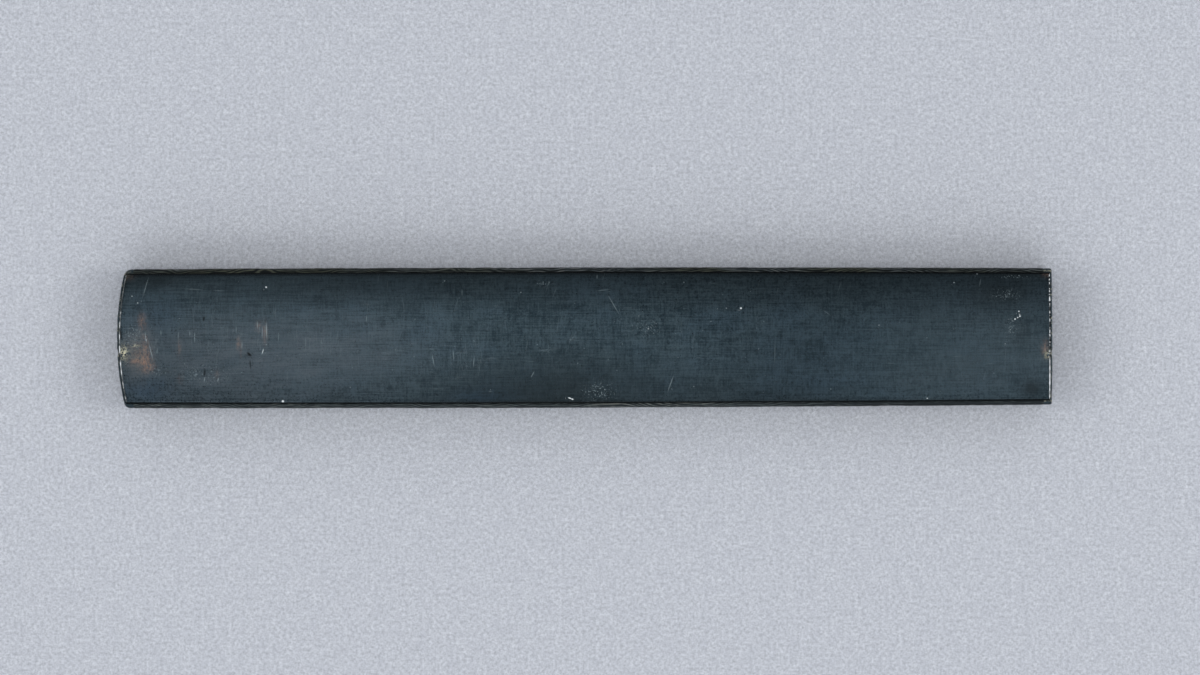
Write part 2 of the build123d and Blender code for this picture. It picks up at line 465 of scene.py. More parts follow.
def shown_band(outline, recess):
    """The shown surface of a wall from the seam over the shoulder and down to the foot.

    outline and recess are matching points in plan. Returns the points as an array of columns by
    rows, the way inward of each column, and for each row how far it faces outward and up, and
    its distance from the seam."""
    land = np.linalg.norm(recess - outline, axis=1)
    inward = (recess - outline) / land[:, None]
    radius = land - SOFT_EDGE
    rows = []

    def add(inset, out, up, drop=None, height=None):
        place = outline + inward * np.broadcast_to(inset, land.shape)[:, None]
        z = height if drop is None else crown(place[:, 1]) - drop
        z = np.broadcast_to(z, land.shape)
        rows.append((np.column_stack([place, z]), out, up))

    for back, drop in ((0, 1), (0.3, 0.3), (1, 0)):
        add(land - back * SOFT_EDGE, 0, 1, drop=drop * SOFT_EDGE)
    for angle in np.radians((80, 68, 56, 44, 33, 22, 11, 0)):
        c, s = math.cos(angle), math.sin(angle)
        add(radius * (1 - c), c, s, drop=radius * (1 - s))
    shoulder_z = rows[-1][0][:, 2]
    for share in np.linspace(0, 1, SIDE_ROWS + 1)[1:]:
        add(0, 1, 0, height=shoulder_z * (1 - share) + FOOT * share)
    for angle in np.radians((22, 45, 68, 90)):
        c, s = math.cos(angle), math.sin(angle)
        add(FOOT * (1 - c), c, -s, height=FOOT * (1 - s))
    add(land, 0, -1, height=0)

    points = np.stack([r[0] for r in rows], axis=1)
    out = np.array([r[1] for r in rows], float)
    up = np.array([r[2] for r in rows], float)
    return points, inward, out, up, lengths_along(points[len(points) // 2])


def sink(points, inward, out, up, depth):
    """Moves the points of a band into the metal by depth."""
    sunk = points.copy()
    sunk[:, :, :2] += inward[:, None, :] * (out[None, :] * depth)[:, :, None]
    sunk[:, :, 2] -= np.maximum(up, 0)[None, :] * depth
    return sunk


def joint_groove(distance):
    """Depth of the fine groove where a wall meets an end plate, at this distance from it."""
    return 0.03 * np.exp(-((distance / 0.08) ** 2))


def wood_grain(seed, knots):
    """A field of x and the distance round a wall: 0 in the bottom of a groove, 1 on a ridge."""
    long_flow = ripple(seed, 15.0, 14.0)
    short_flow = ripple(seed + 1, 3.6, 2.5)
    rng = np.random.default_rng(seed + 2)
    knot_x = rng.uniform(BUTT_X, MOUTH_X, knots)
    knot_s = rng.uniform(0.8, 4.6, knots)
    knot_size = rng.uniform(0.7, 1.3, knots)

    def grain(x, s):
        phase = s / GRAIN_PITCH + 2.3 * long_flow(x, s) + 0.55 * short_flow(x, s)
        for kx, ks, size in zip(knot_x, knot_s, knot_size):
            reach = ((x - kx) / (2.2 * size)) ** 2 + ((s - ks) / (0.55 * size)) ** 2
            phase = phase + 2.6 * np.exp(-reach)
        return 0.5 + 0.5 * np.cos(2 * np.pi * phase)

    return grain


def side_wall(name, side, seed, material):
    """A long wall; side is -1 for the near one and 1 for the far one."""
    columns = int((MOUTH_WALL_X - BUTT_WALL_X) / WALL_STEP)
    x = np.linspace(BUTT_WALL_X, MOUTH_WALL_X, columns)
    outline = np.column_stack([x, side * half_width(x)])
    recess = np.column_stack([x, side * (half_width(x) - SIDE_LAND)])
    points, inward, out, up, along = shown_band(outline, recess)
    across, s = points[:, :, 0], along[None, :]
    grain = wood_grain(seed, 9)(across, s)
    uneven = 0.5 + 0.5 * ripple(seed + 5, 6.0, 2.0)(across, s)
    depth = GRAIN_DEPTH * (1 - grain) * (0.5 + 0.5 * np.clip(uneven, 0, 1))
    depth = depth + 0.03 * np.clip(ripple(seed + 7, 9.0, 3.0)(across, s), 0, 1)
    depth = depth + 0.025 * np.clip(ripple(seed + 8, 1.5, 2.5)(across, s), 0, 1)
    depth = depth + joint_groove(np.minimum(across - BUTT_WALL_X, MOUTH_WALL_X - across))
    depth = depth + spots(DENTS, across, points[:, :, 1]) * np.exp(-s / 1.2)
    shown = sink(points, inward, out, up, depth)

    inner_y = side * HOLLOW_HALF_WIDTH
    hidden = []
    for y, z in (
        (recess[:, 1], FRONT_THICKNESS),
        (inner_y, FRONT_THICKNESS),
        (inner_y, FACE_EDGE),
        (recess[:, 1], FACE_EDGE),
    ):
        hidden.append(np.column_stack([x, np.broadcast_to(y, x.shape), np.full(x.shape, z)]))
    section = np.concatenate([shown, np.stack(hidden, axis=1)], axis=1)
    rows = section.shape[1]
    faces = grid_faces(columns, rows, close_rows=True) + end_caps(columns, rows)
    plain = np.full((columns, len(hidden)), 0.4)
    # Painted light: the near wall is marked to take lighter, lit copies of the ridge and groove
    # colours.
    pale = 1.0 if side < 0 else 0.0
    # Painted shade: the near wall's ridges are drawn darker towards the mouth.
    shade_toward_mouth = 1 - 0.5 * pale * np.clip((across - 18) / 14, 0, 1)
    fields = {
        "grain": np.hstack([grain * shade_toward_mouth, plain]),
        "pale": np.full(section.shape[:2], pale),
        "seam": np.hstack([np.exp(-s / 0.07) + 0 * grain, 0 * plain]),
    }
    return make_piece(name, section.reshape(-1, 3), faces, material, fields)


def end_outline(tip_x, wall_x, half, arc, corner, land_side, land_end):
    """Matching points of an end plate's outline and of its recess, from near side to far side."""
    way = 1 if tip_x > 0 else -1
    tip, wall = way * tip_x, way * wall_x

    def half_path(side_inset, end_inset, radius):
        """From the wall along the side, round the corner and along the end to the middle."""
        y_side = -(half - side_inset)
        reach = arc - end_inset
        centre_u = tip - arc + math.sqrt((reach - radius) ** 2 - (y_side + radius) ** 2)
        last = math.atan2(y_side + radius, centre_u - (tip - arc))
        turn = np.linspace(-math.pi / 2, last, 25)
        side = np.column_stack([np.linspace(wall, centre_u, 12)[:-1], np.full(11, y_side)])
        bend = np.column_stack(
            [centre_u + radius * np.cos(turn), y_side + radius + radius * np.sin(turn)]
        )
        sweep = np.linspace(last, 0, int(half / END_STEP))[1:]
        end = np.column_stack([tip - arc + reach * np.cos(sweep), reach * np.sin(sweep)])
        return side, bend, end

    def spread(line, like):
        """Points along a line, spaced in proportion to the points of another."""
        run, at = lengths_along(line), lengths_along(like)
        at = at / at[-1] * run[-1]
        return np.column_stack([np.interp(at, run, line[:, k]) for k in (0, 1)])

    # Each half is matched in two parts, which meet at the middle of the corner.
    side, bend, end = half_path(0, 0, corner)
    middle = len(bend) // 2
    outer_a = np.vstack([side, bend[: middle + 1]])
    outer_b = np.vstack([bend[middle:], end])
    side, bend, end = half_path(land_side, land_end, 0.0)
    inner_a = np.vstack([side, bend[:1]])
    inner_b = np.vstack([bend[:1], end])
    outline = np.vstack([outer_a, outer_b[1:]])
    recess = np.vstack([spread(inner_a, outer_a), spread(inner_b, outer_b)[1:]])
    outline = np.vstack([outline, outline[-2::-1] * (1, -1)])
    recess = np.vstack([recess, recess[-2::-1] * (1, -1)])
    return outline * (way, 1), recess * (way, 1)


def end_plate(name, tip_x, wall_x, half, arc, corner, seed, material):
    """The plate that closes one end: its shown band, the two ledges and the flat back."""
    outline, recess = end_outline(tip_x, wall_x, half, arc, corner, SIDE_LAND, END_LAND)
    points, inward, out, up, along = shown_band(outline, recess)
    x, y, s = points[:, :, 0], points[:, :, 1], along[None, :]
    top_dents = spots(DENTS, x, y) * np.exp(-s / 0.8)
    wear = np.clip(ripple(seed, 1.4, 0.9)(y, s), -1, 1)
    depth = top_dents + 0.016 * (1 + wear) + 0.006 * (1 + ripple(seed + 1, 5.0, 3.0)(y, s))
    depth = depth + joint_groove(np.abs(x - wall_x))
    shown = sink(points, inward, out, up, np.clip(depth, 0, 0.3))

    def level(z):
        return np.column_stack([recess, np.full(len(recess), z)])[:, None, :]

    section = np.concatenate([level(FACE_EDGE), shown, level(FRONT_THICKNESS)], axis=1)
    columns, rows = section.shape[:2]
    faces = grid_faces(columns, rows)
    near_end, far_end = end_caps(columns, rows)
    faces.append([c * rows for c in range(columns)])
    faces.append([c * rows + rows - 1 for c in range(columns)])
    faces.append(near_end + far_end[::-1])
    shoulder = np.exp(-(((s - (0.35 * END_LAND + 0.1)) / 0.1) ** 2))
    pad = np.zeros((columns, 1))
    bare = shoulder * np.clip(0.6 * ripple(seed + 2, 0.7, 0.5)(y, s) - 0.3, 0, 1)
    bare = bare + 2.4 * top_dents * np.exp(-s / 0.5)
    fields = {
        "bare": np.clip(np.hstack([pad, bare, pad]), 0, 1),
        # Painted shade: the end plate's shown band is drawn darker all over, as if in shadow.
        "patina_and_shade": np.hstack([pad, 0.75 + 0 * bare, pad]),
        "seam": np.hstack([pad, np.exp(-s / 0.05) + 0 * bare, pad]),
    }
    return make_piece(name, section.reshape(-1, 3), faces, material, fields)


def spaced(length, step, close):
    """Distances from 0 to length: the given close ones at both ends, then evenly spaced."""
    close = np.array(close)
    even = np.linspace(close[-1] + 0.6 * step, length - close[-1] - 0.6 * step, int(length / step))
    return np.concatenate([close, even, length - close[::-1]])


def plate(name, material, step, close, surface, back_z):
    """A plate that fills the recess: a detailed surface, plain edges and a flat back.

    step is the usual mesh spacing, and close holds the places of the first points from an
    edge inward."""
    start, stop = BUTT_X + END_LAND, MOUTH_X - END_LAND
    width = 2 * (HALF_WIDEST - SIDE_LAND)
    columns = spaced(stop - start, step, close)
    rows = spaced(width, step, close)
    share = rows[None, :] / width * 2 - 1
    half = half_width(start + columns)[:, None] - SIDE_LAND
    y = share * half
    reach = BUTT_ARC - END_LAND
    butt = BUTT_X + BUTT_ARC - np.sqrt(reach**2 - y**2)
    x = butt + columns[:, None] / columns[-1] * (stop - butt)
    from_side = (1 - np.abs(share)) * half
    from_end = np.minimum(columns, columns[-1] - columns)[:, None] + 0 * y

    z, fields = surface(x, y, np.minimum(from_side, from_end))
    top = np.stack([x, y, z], axis=2).reshape(-1, 3)

    many, across = len(columns), len(rows)
    kept = sorted(set(range(0, many, BACK_STRIDE)) | {many - 1})
    back = np.stack([x[kept], y[kept], np.full((len(kept), across), back_z)], axis=2)
    base = len(top)
    faces = grid_faces(many, across)
    faces += (np.array(grid_faces(len(kept), across)) + base).tolist()
    for column, row_start in ((0, base), (many - 1, base + (len(kept) - 1) * across)):
        for r in range(across - 1):
            above = column * across + r
            faces.append([above, above + 1, row_start + r + 1, row_start + r])
    for r in (0, across - 1):
        for k, (c0, c1) in enumerate(zip(kept[:-1], kept[1:])):
            above = [c * across + r for c in range(c0, c1 + 1)]
            faces.append(above + [base + (k + 1) * across + r, base + k * across + r])
    fields = {
        field: np.concatenate([values.ravel(), np.zeros(len(back) * across)])
        for field, values in fields.items()
    }
    points = np.concatenate([top, back.reshape(-1, 3)])
    return make_piece(name, points, faces, material, fields)


def rounded(distance, radius):
    """How far a rounded edge has dropped at this distance from it."""
    near = np.clip(radius - distance, 0, radius)
    return radius - np.sqrt(radius**2 - near**2)


def plain_surface(x, y, from_edge):
    """The crowned plain face, a little wavy from the file, with its seam, dents and pits."""
    groove = SEAM_DEPTH * (from_edge < SEAM_WIDTH)
    drop = groove + rounded(np.abs(from_edge - SEAM_WIDTH), SOFT_EDGE) * (groove == 0)
    wave = 0.006 * ripple(3, 16.0, 7.0)(x, y) + 0.0025 * ripple(4, 5.0, 3.0)(x, y)
    pits = np.clip(ripple(5, 1.1, 1.1, 40)(x, y) - 1.75, 0, 1) * 0.02
    flaw = spots(DENTS, x, y)
    z = crown(y) - drop - 0.014 + wave - pits - flaw
    edge = np.exp(-((from_edge / 0.35) ** 2))
    # Painted shade: far_side makes the face darker towards its far side, where less light falls.
    far_side = np.clip((y - 2.5) / 4.0, 0, 1)
    # Lighter stretches: partly rubbed patina, partly a painted sheen.
    pale_and_sheen = spots(PALE_AND_SHEEN, x, y) * (0.85 + 0.15 * ripple(6, 4.0, 2.0)(x, y))
    along, across, shine = nearest_mark(x, y)
    fields = {
        "mark_along": along,
        "mark_across": across,
        "mark_shine": shine,
        "copper": np.clip(spots(COPPER, x, y), 0, 1),
        "bare": np.clip(spots(RUBBED, x, y) + 3 * flaw, 0, 1),
        "pale_and_sheen": np.clip(pale_and_sheen, 0, 1),
        "bluer": np.clip(spots(BLUER, x, y), 0, 1),
        "even": np.clip((x - 22) / 12, 0, 1),
        "pitted": np.clip(spots(PITTED, x, y), 0, 1),
        # This field holds darker stretches of the patina, darker edges, and painted shade over the
        # far side.
        "patina_and_shade": np.clip(spots(DARKER, x, y) + 0.35 * edge + 0.68 * far_side, 0, 1),
        "seam": np.exp(-((from_edge / 0.13) ** 4)),
    }
    return z, fields


def carved_surface(x, y, from_edge):
    """The underside: flat, with wood grain carved into it."""
    drop = rounded(from_edge, 2 * SOFT_EDGE)
    flow = wood_grain(60, 0)
    rng = np.random.default_rng(62)
    bend = np.zeros(x.shape)
    for _ in range(14):
        kx, ky, size = rng.uniform(-46, 46), rng.uniform(-5.5, 5.5), rng.uniform(0.7, 1.5)
        reach = ((x - kx) / (3.2 * size)) ** 2 + ((y - ky) / (1.0 * size)) ** 2
        bend = bend + 1.3 * np.exp(-reach)
    grain = flow(x, 0.55 * y + bend)
    z = drop + 0.06 * (1 - grain)
    return z, {"grain": grain, "seam": np.exp(-from_edge / 0.06)}


def seam_bead(name, tip_x, arc, seed, breaks, break_length, dullness, material):
    """The line of solder in the seam along one end, thin and uneven, and broken in places, drawn
    near white where untarnished as a painted glint. breaks
    and dullness are functions of y: how much of it is broken, and how tarnished it is."""
    way = 1 if tip_x > 0 else -1
    half = half_width(tip_x) - SIDE_LAND - 0.06
    reach = arc - END_LAND - SEAM_WIDTH / 2
    count = int(2 * half / BEAD_STEP)
    y = np.linspace(-half, half, count)
    x = way * (way * tip_x - arc + np.sqrt(reach**2 - y**2))
    size = SEAM_WIDTH / 2 * (0.66 + 0.2 * ripple(seed, 0.9, 1.0)(y, 0))
    size = size * np.clip(np.minimum(y + half, half - y) / 0.3, 0.05, 1)
    broken = np.clip(ripple(seed + 1, break_length, 1.0)(y, 0) * 2.0 + 0.45, 0, 1)
    broken = broken * np.clip(breaks(y), 0, 1)
    middle_z = crown(y) - 0.045 - 0.1 * broken - spots(DENTS, x, y)
    around = np.linspace(0, 2 * np.pi, 10, endpoint=False)
    points = np.stack(
        [
            x[:, None] + size[:, None] * np.cos(around),
            y[:, None] + 0 * around,
            middle_z[:, None] + size[:, None] * 0.7 * np.sin(around),
        ],
        axis=2,
    )
    rows = len(around)
    faces = grid_faces(count, rows, close_rows=True) + end_caps(count, rows)
    # Untarnished stretches are drawn near white: a painted glint along the end edge.
    tarnish = np.clip(broken + dullness(y) + 0.2 * ripple(seed + 3, 1.5, 1.0)(y, 0), 0, 1)
    fields = {"tarnish": np.repeat(tarnish, rows)}
    return make_piece(name, points.reshape(-1, 3), faces, material, fields)


def cut_tang_slot(plate_piece, material):
    """Cuts the slot with its bevelled rim through the mouth plate."""
    corner = np.radians(np.linspace(0, 90, 7))
    inner_x = MOUTH_WALL_X - 0.5
    outline = []
    for quarter, (sy, sz) in enumerate(((1, 1), (-1, 1), (-1, -1), (1, -1))):
        for angle in corner + quarter * math.pi / 2:
            y = sy * (SLOT_WIDTH / 2 - SLOT_CORNER) + SLOT_CORNER * math.cos(angle)
            z = sz * (SLOT_HEIGHT / 2 - SLOT_CORNER) + SLOT_CORNER * math.sin(angle)
            outline.append((y, z))
    outline = np.array(outline)
    push = np.sign(outline)
    middle_z = (FRONT_THICKNESS + FACE_EDGE) / 2
    loops = []
    for x, out in ((inner_x, 0), (MOUTH_X - SLOT_BEVEL, 0), (MOUTH_X + SLOT_BEVEL, 1)):
        ring = outline + push * out * 2 * SLOT_BEVEL
        loops.append(np.column_stack([np.full(len(ring), x), ring[:, 0], ring[:, 1] + middle_z]))
    count = len(outline)
    faces = grid_faces(len(loops), count, close_rows=True) + end_caps(len(loops), count)
    mesh = bpy.data.meshes.new("slot_cutter")
    mesh.from_pydata((np.concatenate(loops) * MM).tolist(), [], faces)
    mesh.materials.append(material)
    face_outward(mesh)
    cutter = bpy.data.objects.new("slot_cutter", mesh)
    bpy.context.scene.collection.objects.link(cutter)
    cut = plate_piece.modifiers.new("slot", "BOOLEAN")
    cut.operation = "DIFFERENCE"
    cut.solver = "EXACT"
    cut.object = cutter
    graph = bpy.context.evaluated_depsgraph_get()
    result = bpy.data.meshes.new_from_object(plate_piece.evaluated_get(graph))
    plate_piece.modifiers.clear()
    shade_smooth(result, 40)
    plate_piece.data = result
    bpy.data.objects.remove(cutter)
    bpy.data.meshes.remove(mesh)


# ---------------------------------------------------------------- materials


class Shader:
    """A material's node tree, with short calls for the nodes used here."""

    def __init__(self, name):
        self.material = bpy.data.materials.new(name)
        self.material.use_nodes = True
        self.tree = self.material.node_tree
        self.tree.nodes.clear()
        output = self.add("ShaderNodeOutputMaterial")
        self.surface = self.add("ShaderNodeBsdfPrincipled")
        self.tree.links.new(self.surface.outputs[0], output.inputs["Surface"])
        place = self.add("ShaderNodeTexCoord").outputs["Object"]
        self.place = self.vector("SCALE", place, scale=1 / MM)

    def add(self, kind, inputs=None, **settings):
        node = self.tree.nodes.new(kind)
        for key, value in settings.items():
            setattr(node, key, value)
        for key, value in (inputs or {}).items():
            self.set(node.inputs[key], value)
        return node

    def set(self, socket, value):
        if isinstance(value, bpy.types.NodeSocket):
            self.tree.links.new(value, socket)
        else:
            socket.default_value = value

    def vector(self, operation, a, b=None, scale=None):
        node = self.add("ShaderNodeVectorMath", {0: a}, operation=operation)
        if b is not None:
            self.set(node.inputs[1], b)
        if scale is not None:
            self.set(node.inputs["Scale"], scale)
        return node.outputs["Value" if operation == "LENGTH" else "Vector"]

    def math(self, operation, a, b=0.0, clamp=False):
        node = self.add("ShaderNodeMath", {0: a, 1: b}, operation=operation, use_clamp=clamp)
        return node.outputs[0]

    def field(self, name):
        """A value stored at the mesh's points, or 0 on a mesh without it."""
        return self.add("ShaderNodeAttribute", attribute_name=name).outputs["Fac"]

    def noise(self, scale, stretch=(1, 1, 1), detail=3.0, roughness=0.55):
        """Noise with features of 1/scale mm, longer along an axis whose stretch is small."""
        place = self.vector("MULTIPLY", self.place, tuple(scale * s for s in stretch))
        inputs = {"Vector": place, "Scale": 1.0, "Detail": detail, "Roughness": roughness}
        return self.add("ShaderNodeTexNoise", inputs).outputs["Fac"]

    def ramp(self, value, low, high, to_low=0.0, to_high=1.0):
        """The value's place between low and high, as its place between to_low and to_high."""
        inputs = {"From Min": low, "From Max": high, "To Min": to_low, "To Max": to_high}
        return self.add("ShaderNodeMapRange", {"Value": value, **inputs}, clamp=True).outputs[0]

    def mix(self, factor, a, b):
        """Colour a where the factor is 0 and colour b where it is 1."""
        node = self.add("ShaderNodeMix", data_type="RGBA")
        for index, value in ((0, factor), (6, a), (7, b)):
            self.set(node.inputs[index], value)
        return node.outputs[2]

    def finish(self, color, roughness, metallic, height=None, relief=0.0):
        """Joins the results to the surface; relief is how many millimetres a height of 1 is."""
        self.set(self.surface.inputs["Base Color"], color)
        self.set(self.surface.inputs["Roughness"], roughness)
        self.set(self.surface.inputs["Metallic"], metallic)
        if height is not None:
            inputs = {"Height": height, "Distance": relief * MM, "Strength": 1.0}
            bump = self.add("ShaderNodeBump", inputs)
            self.set(self.surface.inputs["Normal"], bump.outputs[0])
        return self.material


PATINA = (0.0718, 0.1100, 0.1320, 1)
PATINA_BLUE = (0.0525, 0.1025, 0.1610, 1)
PATINA_DARK = (0.0157, 0.0320, 0.0438, 1)
PATINA_EVEN = (0.0430, 0.0700, 0.0870, 1)
PATINA_SHADE = (0.0112, 0.0178, 0.0212, 1)
# Pale colour: partly rubbed patina, partly a painted sheen.
PATINA_PALE_AND_SHEEN = (0.1150, 0.1450, 0.1700, 1)
COPPER_COLOR = (0.4400, 0.2850, 0.2200, 1)
BARE_COLOR = (0.4300, 0.5400, 0.5800, 1)
BRIGHT_COLOR = (0.8800, 0.9200, 0.9400, 1)
BRASSY_COLOR = (0.7500, 0.7200, 0.5200, 1)
GRIME = (0.0040, 0.0055, 0.0065, 1)


def blue_black_material():
    """Satin blue-black patina with polishing lines, mottling, copper spots and scratches, and some
    painted sheen and painted shade in its colour.
    """
    s = Shader("blue_black_patina")
    lines = s.noise(7.0, (0.035, 1, 1), detail=4)
    cross = s.noise(6.5, (1, 0.12, 1), detail=3)
    broad = s.noise(0.16, (1, 1.6, 1), detail=2)
    mottle = s.noise(0.9, detail=6, roughness=0.65)
    grain = s.noise(4.5, detail=3, roughness=0.85)

    tone = s.ramp(mottle, 0.3, 0.7, -0.3, 0.3)
    for layer, amount in ((grain, 0.58), (lines, 0.37), (cross, 0.32), (broad, 0.1)):
        tone = s.math("ADD", tone, s.ramp(layer, 0.3, 0.7, -amount, amount))
    blotches = s.ramp(s.noise(2.4, detail=3, roughness=0.7), 0.58, 0.68, 0, 0.28)
    tone = s.math("SUBTRACT", s.math("ADD", tone, 0.56), blotches, clamp=True)
    blue = s.math("ADD", s.field("bluer"), s.ramp(broad, 0.45, 0.7, 0, 0.22), clamp=True)
    teal = s.mix(blue, PATINA, PATINA_BLUE)
    color = s.mix(tone, PATINA_DARK, teal)
    even = s.math("MULTIPLY", s.field("even"), 0.28)
    color = s.mix(even, color, PATINA_EVEN)
    # Mixing towards PATINA_SHADE draws darker patina in places, and painted shade on the far side
    # and on the end plates.
    shade = s.math("MULTIPLY", s.field("patina_and_shade"), 0.9, clamp=True)
    color = s.mix(shade, color, PATINA_SHADE)

    # Paler colour in the lighter stretches: partly rubbed patina, partly a painted sheen.
    rub_and_sheen = s.math("MULTIPLY", s.field("pale_and_sheen"), s.ramp(lines, 0.3, 0.7, 0.5, 1.4))
    rub_and_sheen = s.math("MULTIPLY", rub_and_sheen, s.ramp(grain, 0.3, 0.7, 0.4, 1.5))
    color = s.mix(s.math("MULTIPLY", rub_and_sheen, 0.8, clamp=True), color, PATINA_PALE_AND_SHEEN)

    fleck = s.ramp(s.noise(4.5, (1, 0.5, 1), detail=4, roughness=0.75), 0.38, 0.6)
    copper = s.math("MULTIPLY", s.field("copper"), fleck)
    color = s.mix(s.math("MULTIPLY", copper, 0.8), color, COPPER_COLOR)

    inputs = {0: s.field("mark_along"), 1: s.field("mark_across")}
    reach = s.vector("LENGTH", s.add("ShaderNodeCombineXYZ", inputs).outputs[0])
    inked = s.math("MULTIPLY", s.ramp(reach, 1.0, 0.4), s.field("mark_shine"))
    bare = s.math("MAXIMUM", inked, 0.0)
    color = s.mix(bare, color, BARE_COLOR)
    color = s.mix(s.math("MULTIPLY", inked, -1.0, clamp=True), color, GRIME)
    pits = s.math("MULTIPLY", s.ramp(s.noise(6.0, detail=1), 0.6, 0.68), s.field("pitted"))
    color = s.mix(s.math("MULTIPLY", pits, 0.55), color, BARE_COLOR)
    bright = s.ramp(bare, 0.45, 0.8)
    color = s.mix(bright, color, BRIGHT_COLOR)

    chips = s.noise(6.5, detail=3)
    knocked = s.math("MULTIPLY", s.field("bare"), s.ramp(chips, 0.47, 0.505))
    color = s.mix(s.math("MULTIPLY", s.field("bare"), 0.6), color, PATINA_DARK)
    color = s.mix(knocked, color, BRASSY_COLOR)
    color = s.mix(s.math("MULTIPLY", s.field("seam"), 0.95, clamp=True), color, GRIME)

    roughness = s.math("ADD", 0.29, s.ramp(grain, 0.3, 0.7, -0.04, 0.05))
    height = s.math("ADD", s.math("MULTIPLY", lines, 0.6), s.math("MULTIPLY", cross, 0.3))
    height = s.math("ADD", height, s.math("MULTIPLY", grain, 0.6))
    height = s.math("SUBTRACT", height, s.math("MULTIPLY", bare, 0.8))
    metallic = s.ramp(s.math("MAXIMUM", bright, knocked), 0, 1, 0.8, 0.15)
    return s.finish(color, roughness, metallic, height, 0.0018)


OLIVE_RIDGE = (0.0900, 0.0980, 0.0700, 1)
GREY_RIDGE = (0.0820, 0.1020, 0.1120, 1)
# Painted light: a lighter, lit copy of the ridge colour for the near wall.
LIT_SIDE_RIDGE = (0.0820, 0.1020, 0.1020, 1)
WORN_RIDGE = (0.2400, 0.2450, 0.2200, 1)
GROOVE = (0.0090, 0.0115, 0.0120, 1)
# Painted light: a lighter, lit copy of the groove colour for the near wall.
LIT_SIDE_GROOVE = (0.0180, 0.0230, 0.0250, 1)


def grained_material():
    """Olive-grey ridges and near-black grooves of the carved wood grain, with painted light on the
    near wall.
    """
    s = Shader("grained_patina")
    grain = s.field("grain")
    tint = s.noise(0.35, (0.3, 1, 1), detail=3)
    fine = s.noise(5.0, (0.15, 1, 1), detail=4, roughness=0.65)
    ridge = s.mix(s.ramp(tint, 0.4, 0.6), OLIVE_RIDGE, GREY_RIDGE)
    # The pale field picks the near wall's lit copies of these colours: painted light.
    ridge = s.mix(s.field("pale"), ridge, LIT_SIDE_RIDGE)
    strand = s.math("ADD", grain, s.ramp(fine, 0.3, 0.7, -0.4, 0.4), clamp=True)
    groove = s.mix(s.field("pale"), GROOVE, LIT_SIDE_GROOVE)
    color = s.mix(s.ramp(strand, 0.35, 1.0), groove, ridge)
    worn = s.math("MULTIPLY", s.ramp(strand, 0.75, 1.0), s.ramp(tint, 0.48, 0.62))
    color = s.mix(s.math("MULTIPLY", worn, 0.7), color, WORN_RIDGE)
    color = s.mix(s.math("MULTIPLY", s.field("seam"), 0.95, clamp=True), color, GRIME)
    roughness = s.ramp(strand, 0.0, 1.0, 0.55, 0.4)
    s.set(s.surface.inputs["Specular IOR Level"], 0.25)
    return s.finish(color, roughness, 0.75, fine, 0.004)


def silver_material():
    """Silver solder, grey where it has tarnished, and elsewhere near white: a painted glint along
    the end edges.
    """
    s = Shader("silver_solder")
    patch = s.noise(4.0, detail=3)
    tarnish = s.math("ADD", s.field("tarnish"), s.ramp(patch, 0.3, 0.7, -0.25, 0.25), clamp=True)
    # The near-white colour is a painted glint, standing in for light caught along the end edges.
    color = s.mix(tarnish, (0.92, 0.96, 0.98, 1), (0.12, 0.135, 0.14, 1))
    roughness = s.ramp(patch, 0.3, 0.7, 0.28, 0.45)
    return s.finish(color, roughness, s.ramp(tarnish, 0, 1, 0.0, 0.8), patch, 0.006)


def wood_material():
    """Plain sawn softwood."""
    s = Shader("sawn_wood")
    rings = s.noise(1.6, (0.04, 1, 1), detail=4)
    pores = s.noise(9.0, (0.1, 1, 1), detail=2)
    color = s.mix(s.ramp(rings, 0.35, 0.65), (0.50, 0.33, 0.17, 1), (0.30, 0.17, 0.075, 1))
    color = s.mix(s.ramp(pores, 0.55, 0.75, 0, 0.5), color, (0.14, 0.08, 0.035, 1))
    return s.finish(color, 0.7, 0.0, pores, 0.02)


def paper_material():
    """Pale grey-blue sheet with a fine grain."""
    s = Shader("pale_floor")
    fibre = s.noise(0.9, (1, 0.6, 1), detail=5, roughness=0.7)
    color = s.mix(s.ramp(fibre, 0.3, 0.7), (0.730, 0.757, 0.822, 1), (0.872, 0.902, 0.958, 1))
    speckle = s.noise(2.8, detail=4, roughness=0.9)
    color = s.mix(s.ramp(speckle, 0.34, 0.66), color, (0.43, 0.45, 0.49, 1))
    return s.finish(color, 0.85, 0.0, fibre, 0.05)


# ---------------------------------------------------------------- pieces


def dull_at_butt(y):
    """How tarnished the butt's solder is; elsewhere a painted glint shows, brightest around the
    dent.
    """
    return 0.3 + 0.6 * np.clip((y - 1.3) / 2.5, 0, 1) + 0.35 * np.clip((-3.0 - y) / 1.5, 0, 1)


def dull_at_mouth(y):
    """How tarnished the mouth's solder is; elsewhere a painted glint shows, brightest along its
    near half.
    """
    return 0.15 * np.clip(y + 1.5, 0, 1)


def broken_at_mouth(y):
    """The bright line at the mouth is whole on the near side and broken on the far side."""
    return np.clip((y + 2.4) / 0.5, 0, 1) + np.exp(-(((y + 5.8) / 0.15) ** 2))


def broken_at_butt(y):
    """The bright line at the butt is uneven, most of all on the far side and by the dent."""
    return 0.3 + 0.35 * np.clip(y + 1, 0, 1) + np.exp(-(((y + 1.4) / 0.5) ** 2))


blue_black = blue_black_material()
grained = grained_material()
silver = silver_material()
wood = wood_material()

# The places of a plate's first mesh points from an edge inward
ACROSS_SEAM = (0, 0.07, SEAM_WIDTH - 0.005, SEAM_WIDTH, 0.15, 0.165, 0.19)
ACROSS_EDGE = (0, 0.02, 0.05, 0.1)

